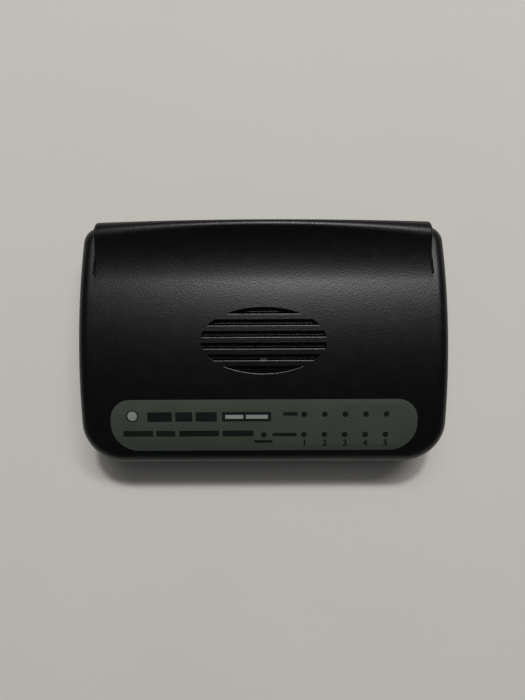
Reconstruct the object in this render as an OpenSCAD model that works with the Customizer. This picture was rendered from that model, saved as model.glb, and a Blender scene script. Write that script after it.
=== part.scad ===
// Five-port desktop network switch: a two-part plastic case with an arched top and a raised hood over the ports,
// a circuit board with its sockets and components, a light pipe behind a printed label, feet and screws.
// Frame: +Z up, front (label) towards -Y, ports towards +Y, origin under the middle of the feet.

/* [Case] */
// Width of the case at the middle of its depth
case_w = 123.6; // [123:0.2:126]
// Depth of the case, front wall to rear wall
case_d = 82; // [82:1:86]
// Height of the top of the arch above the desk
crest_z = 26; // [25.5:0.5:29]
// Radius of the arched top, seen from the side
arch_r = 118; // [112:1:124]
// Radius of the slightly bowed side walls, seen from above
side_bow_r = 10000; // [3000:500:12000]
// Corner radius at the front, seen from above
front_corner_r = 14; // [13:0.5:15.5]
// Corner radius at the rear, seen from above
rear_corner_r = 6; // [5.5:0.1:8.5]
// Radius of the rolled edge between the top and the walls
edge_r = 4; // [3.5:0.1:4.2]
// Thickness of the plastic walls
wall = 2; // [1.8:0.1:2.1]
// Height of the joint between base and cover
part_z = 7.6; // [7.4:0.1:7.8]

/* [Hood] */
// Inset of the hood's sides from the case's sides
hood_inset = 5.2; // [5:0.1:5.8]
// Where the hood leaves the arch, behind the middle
hood_start_y = 20.5; // [20:0.1:21]
// Radius of the hollow sweep that rises to the rear
hood_sweep_r = 30.5; // [30:0.5:32]
// Radius of the hood's rear edge at the middle
hood_roll_mid = 1.8; // [1.6:0.1:2]
// Radius of the hood's rear edge at its two ends
hood_roll_end = 4.8; // [4:0.1:5]

/* [Vent] */
// Width of the oval grille
vent_w = 41.5; // [38:0.5:44]
// Depth of the oval grille
vent_d = 22; // [21.6:0.1:23]
// Distance from one slat to the next
slat_pitch = 3.85; // [3.8:0.01:3.9]
// Width of a slat
slat_w = 1.8; // [1.5:0.1:1.9]

/* [Label and lights] */
// Width of the printed label
label_w = 102.6; // [100:0.2:104]
// Distance from one port's lights to the next
light_pitch = 6.85; // [6.7:0.05:7]
// Radius of the light windows in the label
window_r = 0.95; // [0.9:0.05:1]

/* [Board and ports] */
// Distance from one port to the next
port_pitch = 17; // [16.8:0.1:17.1]
// Width of a port's housing
port_w = 15.7; // [15.4:0.1:15.8]
// Height of a port's housing above the board
port_h = 11.6; // [11.5:0.1:11.7]
// Slope of the contact springs at rest, in degrees
contact_slope = 22; // [20:1:23]

/* [Hidden] */
PORTS = [1 : 5];

half_w = case_w / 2;
half_d = case_d / 2;
foot_h = 1.2;              // how far the feet stand out below the base
foot_sink = 0.6;           // how deep they sit in the base
foot_r = 5;
floor_z = foot_h + wall;   // upper face of the base's floor
shadow_gap = 0.2;          // open line between base and cover
base_step = 0.25;          // the base is this much smaller than the cover all round
base_roll = 2;             // rolled lower edge of the base
board_t = 1.6;
board_top = part_z;
board_z = board_top - board_t;
fit = 0.15;                // clearance between pieces that sit in each other
cut = 1;                   // how far a cutting shape runs past a face
face_y = half_d - 0.2;     // outer face of the sockets, just inside the rear wall's face
arch_axis_z = crest_z - arch_r;

// Arch and outline ----------------------------------------------------------------------------------------------

function arch_z(y) = arch_axis_z + sqrt(arch_r * arch_r - y * y);
function arc(cx, cy, r, a0, a1, n) = [
    for (i = [0 : n]) let (a = a0 + (a1 - a0) * i / n) [cx + r * cos(a), cy + r * sin(a)]
];

// The plan is four arcs and two straight edges. A corner's centre keeps its arc tangent to the bowed side.
side_cx = half_w - side_bow_r;
front_cy = front_corner_r - half_d;
rear_cy = half_d - rear_corner_r;
function corner_cx(r, cy) = side_cx + sqrt((side_bow_r - r) * (side_bow_r - r) - cy * cy);
front_cx = corner_cx(front_corner_r, front_cy);
rear_cx = corner_cx(rear_corner_r, rear_cy);
front_turn = atan2(front_cy, front_cx - side_cx);
rear_turn = atan2(rear_cy, rear_cx - side_cx);
corner_steps = 8;
side_steps = 10;

function right_half(d) = concat(
    arc(front_cx, front_cy, front_corner_r - d, -90, front_turn, corner_steps),
    [for (i = [1 : side_steps - 1])
        let (a = front_turn + (rear_turn - front_turn) * i / side_steps)
        [side_cx + (side_bow_r - d) * cos(a), (side_bow_r - d) * sin(a)]],
    arc(rear_cx, rear_cy, rear_corner_r - d, rear_turn, 90, corner_steps)
);
function mirrored(points) = [for (i = [len(points) - 1 : -1 : 0]) [-points[i][0], points[i][1]]];
function outline(d) = concat(right_half(d), mirrored(right_half(d)));
function side_x(y, d) = side_cx + sqrt((side_bow_r - d) * (side_bow_r - d) - y * y);

// A closed skin over rings of points that lie one above the other. Each ring is symmetric about X = 0, so its cap
// is a row of flat strips from the right half to the left.
module ring_solid(rings) {
    n = len(rings[0]);
    top = (len(rings) - 1) * n;
    walls = [for (k = [0 : len(rings) - 2], i = [0 : n - 1], half = [0, 1])
        let (a = k * n + i, b = k * n + (i + 1) % n)
        half == 0 ? [b, a, a + n] : [b, a + n, b + n]];
    cap = [for (i = [0 : n / 2 - 2], half = [0, 1])
        let (a = top + i, b = top + i + 1, c = top + n - 2 - i, d = top + n - 1 - i)
        half == 0 ? [c, b, a] : [d, c, a]];
    foot = [for (i = [0 : n / 2 - 2], half = [0, 1])
        let (a = i, b = i + 1, c = n - 2 - i, d = n - 1 - i)
        half == 0 ? [a, b, c] : [a, c, d]];
    polyhedron([for (r = rings) each r], concat(walls, cap, foot));
}

function level_ring(d, z) = [for (p = outline(d)) [p[0], p[1], z]];
function arched_ring(d, drop) = [for (p = outline(d)) [p[0], p[1], arch_z(p[1]) - drop]];

// The body under the arch: straight walls, a rolled edge of radius roll and the arched top, inset by d all round.
module arched_body(d, z, lower, roll, steps) {
    ring_solid(concat(
        [level_ring(d, z)],
        [for (i = [0 : steps])
            let (a = 90 * i / steps)
            arched_ring(d + roll * (1 - cos(a)), lower + roll * (1 - sin(a)))]
    ));
}

// Hood ----------------------------------------------------------------------------------------------------------

// Across the hood t runs from -1 to 1. The rear edge's roll grows from the middle to the ends.
sweep_a0 = -asin(hood_start_y / arch_r);
sweep_cy = hood_start_y - hood_sweep_r * sin(sweep_a0);
sweep_cz = arch_z(hood_start_y) + hood_sweep_r * cos(sweep_a0);
function roll_at(t) = hood_roll_mid + (hood_roll_end - hood_roll_mid) * t * t;

// The roll touches the sweep from below and the rear wall from in front: its centre is off both by its radius.
function roll_cy(t, d) = half_d - d - max(roll_at(t) - d, 0.3);
function roll_cz(t, d) = let (r = max(roll_at(t) - d, 0.3), reach = hood_sweep_r + d + r, y = roll_cy(t, d) - sweep_cy)
    sweep_cz - sqrt(reach * reach - y * y);
function hood_profile(t, d, low, sweep_steps, roll_steps) =
    let (
        r = max(roll_at(t) - d, 0.3),
        cy = roll_cy(t, d),
        cz = roll_cz(t, d),
        a1 = asin((cy - sweep_cy) / (hood_sweep_r + d + r)),
        run = hood_sweep_r + d
    )
    concat(
        [[hood_start_y - 2, low], [hood_start_y - 2, arch_z(hood_start_y - 2) - d - 0.4]],
        [for (i = [0 : sweep_steps])
            let (a = sweep_a0 + (a1 - sweep_a0) * i / sweep_steps)
            [sweep_cy + run * sin(a), sweep_cz - run * cos(a) - (i == 0 ? 0.02 : 0)]],
        [for (i = [1 : roll_steps])
            let (a = 90 + a1 - (90 + a1) * i / roll_steps)
            [cy + r * cos(a), cz + r * sin(a)]],
        [[half_d - d, low]]
    );

// The hood's block: its profile at each t, spread to the sides that run parallel to the case's outline.
module hood_block(d, low, across, sweep_steps, roll_steps) {
    profiles = [for (k = [0 : across]) hood_profile(2 * k / across - 1, d, low, sweep_steps, roll_steps)];
    n = len(profiles[0]);
    points = [for (k = [0 : across], p = profiles[k])
        [(2 * k / across - 1) * side_x(p[0], hood_inset + d), p[0], p[1]]];
    skin = [for (k = [0 : across - 1], i = [0 : n - 1], half = [0, 1])
        let (a = k * n + i, b = k * n + (i + 1) % n)
        half == 0 ? [a, b, b + n] : [a, b + n, a + n]];
    end = [for (i = [n - 1 : -1 : 0]) i];
    polyhedron(points, concat(skin, [end], [[for (i = [0 : n - 1]) across * n + i]]));
}

// Shared positions ----------------------------------------------------------------------------------------------

case_screw_xy = [for (x = [-56.2, 56.2], y = [-22, 20]) [x, y]];
board_screw_xy = [for (x = [-49.4, 49.4], y = [-28, 6.4]) [x, y]];
foot_x = 50;
foot_y = 31;
port_x0 = -44.5;
port_peg_x = 5.7;          // a socket's pegs, off its middle and inward from its face
port_peg_u = 9;
peg_r = 1.5;
pin_pitch = 1.02;
tail_u = [14.9, 17.1];     // solder tails of even and odd contacts, inward from the face
power_x = 46;
power_tail_u = [5.4, 10.4, 15];
function port_x(n) = port_x0 + (n - 1) * port_pitch;
function pin_x(n, k) = port_x(n) + (k - 3.5) * pin_pitch;

// Inside a socket u runs inward from its outer face.
function uy(u) = face_y - u;

vent_y = 1;
slat_y = [for (i = [0 : 4]) 9.75 - i * slat_pitch];   // rear edge of each slat
vent_steps = 48;
vent_oval = [for (i = [0 : vent_steps - 1])
    let (a = 360 * i / vent_steps)
    [vent_w / 2 * cos(a), vent_y + vent_d / 2 * sin(a)]];
slat_lip = 0.95;                                      // ledge behind the foot of each slat

label_y0 = -36.3;
label_y1 = -18.6;
label_t = 0.3;
label_x = 0.05;
label_front_r = 9;
label_rear_r = 6.8;
label_seat = 0.4;                                     // depth of the recess that the label lies in
speed_row_y = -23.7;
link_row_y = -30.75;
light_x0 = 13.45;
power_light_x = -0.1;
light_xy = concat(
    [for (i = [0 : 4]) [light_x0 + i * light_pitch, speed_row_y]],
    [for (i = [0 : 4]) [light_x0 + i * light_pitch, link_row_y]],
    [[power_light_x, link_row_y]]
);

module prism(points, z0, z1) {
    translate([0, 0, z0])
        linear_extrude(z1 - z0)
            polygon(points);
}

module block(x0, x1, y0, y1, z0, z1) {
    translate([x0, y0, z0])
        cube([x1 - x0, y1 - y0, z1 - z0]);
}

module drum(x, y, r, z0, z1) {
    translate([x, y, z0])
        cylinder(r = r, h = z1 - z0, $fn = 48);
}

// A bar along X with round ends.
module round_ended(half_len, half_wide, z0, z1) {
    translate([0, 0, z0])
        linear_extrude(z1 - z0)
            union() {
                square([2 * (half_len - half_wide), 2 * half_wide], center = true);
                for (s = [-1, 1])
                    translate([s * (half_len - half_wide), 0])
                        circle(r = half_wide, $fn = 32);
            }
}

// A rectangle with corner radius r at its front and s at its rear.
function rounded(x0, x1, y0, y1, r, s) = concat(
    arc(x1 - r, y0 + r, r, -90, 0, corner_steps),
    arc(x1 - s, y1 - s, s, 0, 90, corner_steps),
    arc(x0 + s, y1 - s, s, 90, 180, corner_steps),
    arc(x0 + r, y0 + r, r, 180, 270, corner_steps)
);

// The label's outline, larger by d all round, through the whole height.
module label_prism(d) {
    edge = rounded(label_x - label_w / 2 - d, label_x + label_w / 2 + d, label_y0 - d, label_y1 + d,
        label_front_r + d, label_rear_r + d);
    prism(edge, 0, crest_z + cut);
}

// Everything above the arch's cylinder when it is made smaller by d.
module above_arch(d) {
    difference() {
        block(-half_w, half_w, -half_d, half_d, 0, crest_z + 5);
        translate([-half_w - cut, 0, arch_axis_z])
            rotate([0, 90, 0])
                cylinder(r = arch_r - d, h = case_w + 2 * cut, $fn = 180);
    }
}

// Case ----------------------------------------------------------------------------------------------------------

boss_r = 2.8;
pilot_r = 1.25;
boss_top = 18.5;
rim_h = 1.6;               // height of the lap between base and cover
rim_t = 1;                 // thickness of the cover's outer lip
port_hole_w = 16;
port_hole_h = port_h + 0.2;
power_w = 9;
power_h = 11;

module top_cover() {
    color("#17181a")
    difference() {
        union() {
            difference() {
                union() {
                    arched_body(0, part_z, 0, edge_r, 5);
                    hood_block(0, part_z + 2, 14, 10, 6);
                }
                difference() {
                    union() {
                        arched_body(wall, part_z - cut, wall, edge_r - wall, 2);
                        hood_block(wall, part_z + 1, 8, 6, 2);
                    }
                    for (p = case_screw_xy)
                        drum(p[0], p[1], boss_r, part_z - cut, crest_z);
                }
            }
            for (y = slat_y)
                intersection() {
                    prism(vent_oval, crest_z - 5, crest_z);
                    block(-vent_w, vent_w, y - 0.3, y + slat_lip, arch_z(y) - wall - 1, arch_z(y) - wall + 0.1);
                }
        }
        prism(outline(rim_t), part_z - cut, part_z + rim_h);
        for (p = case_screw_xy)
            drum(p[0], p[1], pilot_r, part_z - cut, boss_top - 1);
        for (i = [0 : 5])
            intersection() {
                prism(vent_oval, crest_z - wall - 0.7, crest_z + cut);
                block(-vent_w, vent_w,
                    i < 5 ? slat_y[i] : -vent_d,
                    i > 0 ? slat_y[i - 1] - slat_w : vent_d,
                    crest_z - wall - 1, crest_z + cut);
            }
        intersection() {
            above_arch(label_seat);
            label_prism(fit);
        }
        for (p = light_xy)
            drum(p[0], p[1], 1.2, 10, crest_z);
        for (n = PORTS)
            block(port_x(n) - port_hole_w / 2, port_x(n) + port_hole_w / 2,
                half_d - 2 * wall, half_d + cut, part_z - cut, board_top + port_hole_h);
        block(power_x - power_w / 2 - fit, power_x + power_w / 2 + fit,
            half_d - 2 * wall, half_d + cut, part_z - cut, board_top + power_h + fit);
    }
}

slot_y = [for (i = [0 : 6]) -12 + i * 4];   // air slots in the base's floor
slot_x = 36;
slot_len = 17;
slot_w = 1.8;
standoff_r = 3;
post_r = 3.4;
screw_head_r = 2.7;
head_z = 5.2;                               // where the case screws' heads bear
tongue_gap_x = 55.6;                        // the tongue stops here, on both sides of the sockets

module base_outer() {
    steps = 3;
    ring_solid(concat(
        [for (i = [0 : steps])
            let (a = 90 * i / steps)
            level_ring(base_step + base_roll * (1 - sin(a)), foot_h + base_roll * (1 - cos(a)))],
        [level_ring(base_step, part_z - shadow_gap)]
    ));
}

module base_shell() {
    color("#141517")
    difference() {
        union() {
            difference() {
                base_outer();
                prism(outline(wall), floor_z, part_z);
            }
            difference() {
                prism(outline(rim_t + fit), floor_z - 0.5, part_z + rim_h - 0.3);
                prism(outline(wall), floor_z - cut, part_z + rim_h);
                block(-tongue_gap_x, tongue_gap_x, 0, half_d, part_z - shadow_gap, part_z + 2 * rim_h);
            }
            for (p = case_screw_xy)
                drum(p[0], p[1], post_r, floor_z - 0.5, part_z - shadow_gap);
            for (p = board_screw_xy)
                drum(p[0], p[1], standoff_r, floor_z - 0.5, board_z);
        }
        for (p = case_screw_xy) {
            drum(p[0], p[1], 1.6, 0, part_z + cut);
            drum(p[0], p[1], screw_head_r + 0.2, 0, head_z);
        }
        for (p = board_screw_xy)
            drum(p[0], p[1], 0.95, floor_z - 0.8, board_z + cut);
        for (sx = [-1, 1], sy = [-1, 1])
            drum(sx * foot_x, sy * foot_y, foot_r + 0.1, 0, foot_h + foot_sink);
        for (s = [-1, 1], y = slot_y)
            translate([s * slot_x, y, 0])
                round_ended(slot_len / 2, slot_w / 2, 0, floor_z + cut);
    }
}

module led_label() {
    color("#55594f")
    difference() {
        intersection() {
            above_arch(label_seat - 0.01);
            label_prism(0);
            translate([-half_w, 0, arch_axis_z])
                rotate([0, 90, 0])
                    cylinder(r = arch_r - label_seat + 0.01 + label_t, h = case_w, $fn = 180);
        }
        for (p = light_xy)
            drum(p[0], p[1], window_r, 10, crest_z);
    }
}

pipe_r = 0.85;
pipe_z = 9;                // lower end of the light pipe's posts, just above the lights
pipe_plate_z = 15;

module light_pipe() {
    color("#c9d6cf", 0.6)
    union() {
        difference() {
            for (p = light_xy)
                drum(p[0], p[1], pipe_r, pipe_z, crest_z);
            above_arch(label_seat - label_t + 0.06);
        }
        block(light_x0 - 2, light_x0 + 4 * light_pitch + 2, link_row_y - 1.6, speed_row_y + 1.6,
            pipe_plate_z, pipe_plate_z + 1.2);
        block(power_light_x - 1.6, light_x0, link_row_y - 1.6, link_row_y + 1.6, pipe_plate_z, pipe_plate_z + 1.2);
        for (p = [[7, link_row_y], [light_x0 + 3.5 * light_pitch, (link_row_y + speed_row_y) / 2]])
            drum(p[0], p[1], 0.9, pipe_plate_z, arch_z(p[1]) - wall - 0.4);
    }
}

module rating_label() {
    color("#b9bbb8")
    prism(rounded(-22, 22, -9, 13, 1.5, 1.5), foot_h - 0.12, foot_h);
}

module foot(sx, sy) {
    color("#26272a")
    translate([sx * foot_x, sy * foot_y, 0])
        rotate_extrude($fn = 64)
            polygon([[0, 0.3], [foot_r - 2, 0.3], [foot_r - 2.3, 0], [foot_r - 0.5, 0], [foot_r, 0.5],
                [foot_r, foot_h + foot_sink], [0, foot_h + foot_sink]]);
}

module cross_recess(x, y, z, size) {
    for (a = [0, 90])
        translate([x, y, z])
            rotate([0, 0, a])
                cube([size, size / 4, 1.8], center = true);
}

module case_screws() {
    color("#8b8d90")
    for (p = case_screw_xy)
        difference() {
            union() {
                drum(p[0], p[1], screw_head_r, head_z - 1.8, head_z);
                drum(p[0], p[1], 1.2, head_z, boss_top - 3);
            }
            cross_recess(p[0], p[1], head_z - 1.8, 3);
        }
}

module board_screws() {
    color("#8b8d90")
    for (p = board_screw_xy)
        difference() {
            union() {
                drum(p[0], p[1], 2.3, board_top, board_top + 1.5);
                drum(p[0], p[1], 0.9, floor_z - 0.6, board_top + 0.1);
            }
            cross_recess(p[0], p[1], board_top + 1.5, 2.6);
        }
}

// Board ---------------------------------------------------------------------------------------------------------

board_x = 52.5;
board_y0 = -34;
board_y1 = half_d - wall - 0.3;

module circuit_board() {
    color("#1d5a34")
    difference() {
        block(-board_x, board_x, board_y0, board_y1, board_z, board_top);
        for (p = board_screw_xy)
            drum(p[0], p[1], 1.2, board_z - cut, board_top + cut);
        for (n = PORTS) {
            for (s = [-1, 1])
                drum(port_x(n) + s * port_peg_x, uy(port_peg_u), peg_r + 0.1, board_z - cut, board_top + cut);
            for (k = [0 : 7])
                drum(pin_x(n, k), uy(tail_u[k % 2]), 0.42, board_z - cut, board_top + cut);
        }
        for (u = power_tail_u)
            block(power_x - 1.4, power_x + 1.4, uy(u) - 0.5, uy(u) + 0.5, board_z - cut, board_top + cut);
    }
}

// Ports ---------------------------------------------------------------------------------------------------------

port_depth = 18.2;
socket_w = 11.8;
socket_z0 = 2;             // floor of the plug's space, above the board
socket_z1 = 8.9;
socket_u = 13.5;           // depth of the plug's space
trough_w = 9.4;            // the contacts' trough in the floor
trough_z = 0.9;
wire_w = 0.45;
wire_t = 0.3;
contact_u = 2.2;           // bend that each contact spring turns about
contact_z = 1.5;
contact_len = 10.4;
contact_bend_r = 0.22;

module port_housing(n) {
    x = port_x(n);
    z = board_top;
    color("#101113")
    difference() {
        union() {
            block(x - port_w / 2, x + port_w / 2, uy(port_depth), face_y, z, z + port_h);
            for (s = [-1, 1])
                drum(x + s * port_peg_x, uy(port_peg_u), peg_r, board_z - 1, z + 0.1);
        }
        block(x - socket_w / 2, x + socket_w / 2, uy(port_depth) - cut, face_y + cut, z + socket_z0, z + socket_z1);
        block(x - trough_w / 2, x + trough_w / 2, uy(socket_u), uy(1.2), z + trough_z, z + socket_z0 + 0.1);
        block(x - socket_w / 2, x + socket_w / 2, uy(port_depth) - cut, uy(socket_u), z - cut, z + socket_z0 + 0.1);
        block(x - 3.1, x + 3.1, uy(socket_u), face_y + cut, z + socket_z1 - 0.1, z + 9.9);
        block(x - 1.8, x + 1.8, uy(9), face_y + cut, z + 9.8, z + 10.7);
    }
}

module port_insert(n) {
    x = port_x(n);
    z = board_top;
    color("#202225")
    difference() {
        union() {
            block(x - socket_w / 2 + 0.1, x + socket_w / 2 - 0.1, uy(port_depth), uy(socket_u) - 0.1,
                z, z + socket_z1 - 0.1);
            block(x - trough_w / 2 + 0.1, x + trough_w / 2 - 0.1, uy(socket_u) - 0.2, uy(socket_u - 2),
                z + socket_z0 + 0.3, z + 7.6);
        }
        for (k = [0 : 7]) {
            block(pin_x(n, k) - 0.35, pin_x(n, k) + 0.35, uy(socket_u), uy(socket_u - 3), z + socket_z0, z + 6.4);
            block(pin_x(n, k) - 0.3, pin_x(n, k) + 0.3, uy(tail_u[k % 2]) - 0.4, uy(socket_u) + 0.2, z - cut, z + 1.5);
        }
    }
}

// The fixed part of each contact wire: a solder tail through the board and a run along the trough to the mouth.
module port_pins(n) {
    z = board_top;
    color("#c9a24a")
    for (k = [0 : 7])
        union() {
            drum(pin_x(n, k), uy(tail_u[k % 2]), 0.28, board_z - 0.9, z + 1.1);
            block(pin_x(n, k) - wire_w / 2, pin_x(n, k) + wire_w / 2, uy(tail_u[k % 2]) - 0.2, uy(contact_u - 0.25),
                z + trough_z + 0.02, z + trough_z + 0.02 + wire_t);
        }
}

// The sprung part of each contact wire: it turns about its bend at the mouth when a plug presses it down.
module port_contacts(n) {
    color("#d9b04f")
    for (k = [0 : 7])
        translate([pin_x(n, k), uy(contact_u), board_top + contact_z])
            rotate([-contact_slope, 0, 0])
                union() {
                    translate([-wire_w / 2, -contact_len, -wire_t / 2])
                        cube([wire_w, contact_len, wire_t]);
                    translate([-wire_w / 2, 0, 0])
                        rotate([0, 90, 0])
                            cylinder(r = contact_bend_r, h = wire_w, $fn = 24);
                    translate([-wire_w / 2, -contact_len, 0])
                        rotate([0, 90, 0])
                            cylinder(r = wire_t / 2 + 0.02, h = wire_w, $fn = 24);
                }
}

// Power socket --------------------------------------------------------------------------------------------------

power_bore_r = 3.1;
power_bore_z = board_top + 6.6;
power_bore_u = 9.6;
power_depth = 13.8;
spring_w = 3;
spring_t = 0.35;
spring_u = 9.8;            // root that the spring leaf turns about
spring_z = board_top + 2.5;
spring_len = 7.4;
spring_slope = 12;

module power_bore(r, u0, u1) {
    translate([power_x, uy(u1), power_bore_z])
        rotate([-90, 0, 0])
            cylinder(r = r, h = u1 - u0, $fn = 64);
}

module power_jack_housing() {
    color("#0e0f10")
    difference() {
        block(power_x - power_w / 2, power_x + power_w / 2, uy(power_depth), face_y, board_top, board_top + power_h);
        power_bore(power_bore_r, -cut, power_bore_u);
        power_bore(1.05, 0, power_depth + cut);
        block(power_x - 1.9, power_x + 1.9, uy(10.9), uy(1), board_top + 1.3, power_bore_z - 1.5);
        for (u = [power_tail_u[0], power_tail_u[1]])
            block(power_x - 1.7, power_x + 1.7, uy(u) - 0.5, uy(u) + 0.5, board_top - cut, board_top + 1.4);
    }
}

module power_jack_pin() {
    color("#c3c5c7")
    union() {
        power_bore(1, 1.6, power_depth + 0.3);
        translate([power_x, uy(1.6), power_bore_z])
            rotate([-90, 0, 0])
                cylinder(r1 = 1, r2 = 0.6, h = 0.5, $fn = 64);
    }
}

module terminal(u, top) {
    block(power_x - 1.2, power_x + 1.2, uy(u) - 0.15, uy(u) + 0.15, board_z - 0.9, top);
}

// The rear strip is riveted on the pin's end. The others are the spring's root and the switch contact below it.
module power_jack_terminals() {
    color("#b5b8ba")
    union() {
        terminal(power_tail_u[0], board_top + 1.3);
        terminal(power_tail_u[1], spring_z + 0.2);
        terminal(power_tail_u[2], power_bore_z + 1.8);
        block(power_x - 1.2, power_x + 1.2, uy(power_tail_u[2]), uy(power_depth) - 0.3,
            power_bore_z - 1.2, power_bore_z + 1.2);
    }
}

module power_jack_spring() {
    color("#c7a65a")
    translate([power_x, uy(spring_u), spring_z])
        rotate([spring_slope, 0, 0])
            union() {
                translate([-spring_w / 2, 0, -spring_t / 2])
                    cube([spring_w, spring_len, spring_t]);
                translate([-spring_w / 2, 0, 0])
                    rotate([0, 90, 0])
                        cylinder(r = 0.3, h = spring_w, $fn = 32);
                translate([-spring_w / 2, spring_len - 0.6, 0])
                    rotate([0, 90, 0])
                        cylinder(r = 0.45, h = spring_w, $fn = 32);
            }
}

// Components ----------------------------------------------------------------------------------------------------

// A row of bent metal leads along one side of a package: a foot on the board, a riser and a shoulder.
module lead_row(x, y, count, pitch, reach, height, turn) {
    lead_w = pitch * 0.45;
    translate([x, y, board_top])
        rotate([0, 0, turn])
            for (i = [0 : count - 1])
                translate([(i - (count - 1) / 2) * pitch - lead_w / 2, 0, 0])
                    union() {
                        translate([0, reach * 0.45, 0])
                            cube([lead_w, reach * 0.55, 0.15]);
                        translate([0, reach * 0.45, 0])
                            cube([lead_w, 0.15, height]);
                        translate([0, 0, height - 0.15])
                            cube([lead_w, reach * 0.45 + 0.15, 0.15]);
                    }
}

chip_w = 20;
chip_d = 14;
chip_h = 2.7;
chip_y = -1;

module switch_chip() {
    color("#1b1c1e")
    difference() {
        block(-chip_w / 2, chip_w / 2, chip_y - chip_d / 2, chip_y + chip_d / 2, board_top + 0.2, board_top + chip_h);
        drum(-chip_w / 2 + 1.8, chip_y - chip_d / 2 + 1.8, 0.6, board_top + chip_h - 0.1, board_top + chip_h + cut);
    }
}

module switch_chip_leads() {
    color("#b9bcc0")
    for (s = [0, 1]) {
        lead_row(0, chip_y + (s == 0 ? 1 : -1) * chip_d / 2, 30, 0.6, 1.6, 1.4, s * 180);
        lead_row((s == 0 ? 1 : -1) * chip_w / 2, chip_y, 20, 0.6, 1.6, 1.4, s * 180 - 90);
    }
}

module eeprom_chip() {
    color("#1b1c1e")
    translate([-27, -8, 0])
        union() {
            block(-2.45, 2.45, -1.95, 1.95, board_top + 0.15, board_top + 1.6);
            lead_row(0, 1.95, 4, 1.27, 1.1, 0.9, 0);
            lead_row(0, -1.95, 4, 1.27, 1.1, 0.9, 180);
        }
}

module crystal_can() {
    color("#bfc2c4")
    translate([-18, -13, 0])
        union() {
            round_ended(5.5, 2.2, board_top, board_top + 0.6);
            round_ended(5, 1.8, board_top + 0.5, board_top + 3.5);
        }
}

transformer_y = 14.6;
transformer_half_d = 3.5;

module transformer(n) {
    color("#1a1b1d")
    block(port_x(n) - 6.3, port_x(n) + 6.3, transformer_y - transformer_half_d, transformer_y + transformer_half_d,
        board_top + 0.2, board_top + 5.6);
}

module transformer_leads() {
    color("#b9bcc0")
    for (n = PORTS, s = [0, 1])
        lead_row(port_x(n), transformer_y + (s == 0 ? 1 : -1) * transformer_half_d, 8, 1.27, 1.5, 1.5, s * 180);
}

module regulator() {
    color("#1b1c1e")
    block(36.6, 43.2, -14.6, -10.9, board_top + 0.1, board_top + 1.7);
}

module regulator_leads() {
    color("#b9bcc0") {
        block(38.4, 41.4, -10.9, -9, board_top, board_top + 0.3);
        for (x = [37.6, 39.9, 42.2])
            block(x - 0.35, x + 0.35, -16.4, -14.6, board_top, board_top + 0.3);
    }
}

module power_diode() {
    color("#1b1c1e")
    union() {
        block(46.3, 50.7, 21.4, 24, board_top + 0.1, board_top + 2.3);
        block(45.6, 51.4, 22, 23.4, board_top, board_top + 0.4);
    }
}

module can_capacitor(x, y, r, h) {
    difference() {
        union() {
            drum(x, y, r, board_top + 0.3, board_top + h);
            for (s = [-1, 1])
                drum(x + s * r / 2, y, 0.3, board_top, board_top + 0.4);
        }
        for (a = [45, 135])
            translate([x, y, board_top + h])
                rotate([0, 0, a])
                    cube([r * 1.2, 0.3, 0.3], center = true);
    }
}

module capacitor_input() {
    color("#22303f")
    can_capacitor(42, 6.5, 4, 11.5);
}

module capacitor_output() {
    color("#22303f")
    can_capacitor(33, -3.5, 3.15, 11);
}

module capacitor_core() {
    color("#22303f")
    can_capacitor(-37, -4, 3.15, 11);
}

inductor_x = 46;
inductor_y = -4.5;

module inductor_core() {
    color("#3a3a3c")
    union() {
        drum(inductor_x, inductor_y, 4.6, board_top, board_top + 1);
        drum(inductor_x, inductor_y, 2.6, board_top + 0.9, board_top + 4.6);
        drum(inductor_x, inductor_y, 4.6, board_top + 4.5, board_top + 5.4);
    }
}

module inductor_coil() {
    color("#a5602c")
    translate([inductor_x, inductor_y, board_top + 1.02])
        rotate_extrude($fn = 64)
            translate([2.62, 0])
                square([1.5, 3.45]);
}

resistor_xy = concat(
    [for (i = [0 : 4]) [light_x0 + i * light_pitch, -19.6]],
    [for (i = [0 : 4]) [-9 - i * 3.4, 8.7]],
    [for (i = [0 : 3]) [12 + i * 3.4, 8.7]],
    [[power_light_x, -26], [-25.4, -13], [-10.6, -13]]
);
ceramic_xy = concat(
    [for (i = [0 : 3]) [-14.5, -6 + i * 3]],
    [for (i = [0 : 3]) [14.5, -6 + i * 3]],
    [[28, -11], [31.5, -11], [46.5, -12.8], [-34, 4.5], [36, 1.5]]
);

module chip_part(p, length, wide, high) {
    block(p[0] - length / 2, p[0] + length / 2, p[1] - wide / 2, p[1] + wide / 2, board_top, board_top + high);
}

module chip_resistors() {
    color("#24262a")
    for (p = resistor_xy)
        chip_part(p, 2, 1.25, 0.55);
}

module chip_capacitors() {
    color("#a98f6c")
    for (p = ceramic_xy)
        chip_part(p, 2, 1.25, 1.1);
}

module leds(points) {
    color("#e7e6dc")
    for (p = points)
        chip_part(p, 3.2, 1.6, 1.1);
}

// Build ---------------------------------------------------------------------------------------------------------

top_cover();
base_shell();
led_label();
light_pipe();
rating_label();
case_screws();
board_screws();
foot(-1, -1);  // foot_front_left
foot(1, -1);  // foot_front_right
foot(-1, 1);  // foot_rear_left
foot(1, 1);  // foot_rear_right
circuit_board();
for (n = PORTS) {
    port_housing(n);
    port_insert(n);
    port_pins(n);
    port_contacts(n);
    transformer(n);
}
power_jack_housing();
power_jack_pin();
power_jack_terminals();
power_jack_spring();
switch_chip();
switch_chip_leads();
eeprom_chip();
crystal_can();
transformer_leads();
regulator();
regulator_leads();
power_diode();
capacitor_input();
capacitor_output();
capacitor_core();
inductor_core();
inductor_coil();
chip_resistors();
chip_capacitors();
leds([for (i = [0 : 4]) light_xy[i]]);  // speed_leds
leds([for (i = [5 : 9]) light_xy[i]]);  // link_leds
leds([light_xy[10]]);  // power_led
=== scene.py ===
"""A small five-port desktop network switch, built up piece by piece in the order that it goes together."""

import math

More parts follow.
